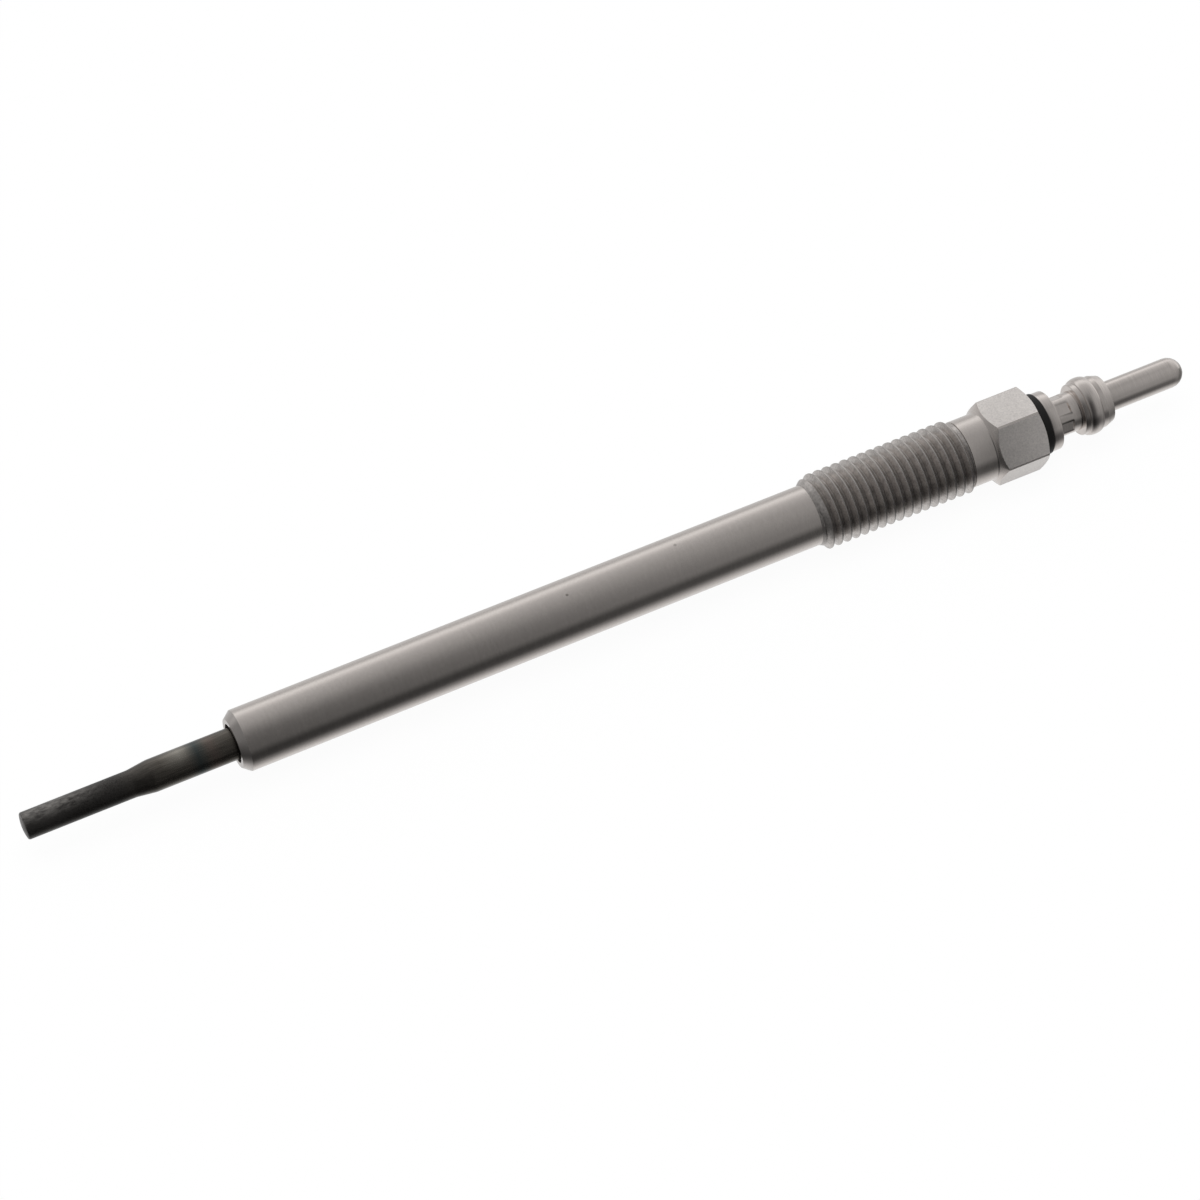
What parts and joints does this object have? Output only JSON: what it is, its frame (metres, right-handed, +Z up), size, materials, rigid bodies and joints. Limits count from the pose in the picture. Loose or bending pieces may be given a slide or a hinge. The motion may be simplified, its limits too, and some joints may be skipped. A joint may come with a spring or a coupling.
{
  "type": "glow plug",
  "caption": "Metal-sheath glow plug for a diesel engine: slim heater, long round shank with sealing cone, fine thread, hexagon and crimped pin terminal.",
  "frame": {"origin": "middle of the plug's length, on the ground under its axis, with the plug lying on one flat of its hexagon", "axes": "+X along the plug's axis from the heater tip to the terminal pin, +Z up"},
  "size_m": [0.1608, 0.0116, 0.01],
  "materials": {
    "shell_steel": "fine-ground plated steel, satin",
    "sheath_alloy": "heat-darkened nickel alloy",
    "coil_wire": "drawn resistance wire",
    "magnesia": "packed powder",
    "packing_rubber": "moulded, matt",
    "rod_steel": "drawn steel",
    "seal_rubber": "moulded, matt",
    "bush_plastic": "moulded, matt",
    "terminal_steel": "turned plated steel, satin"
  },
  "bodies": {
    "root": {"body_shell": "shell_steel", "heater_sheath": "sheath_alloy", "heating_coil": "coil_wire", "control_coil": "coil_wire", "magnesia_powder": "magnesia", "sheath_packing": "packing_rubber", "centre_rod": "rod_steel", "seal_ring": "seal_rubber", "insulating_bush": "bush_plastic", "pin_terminal": "terminal_steel"}
  },
  "joints": []
}
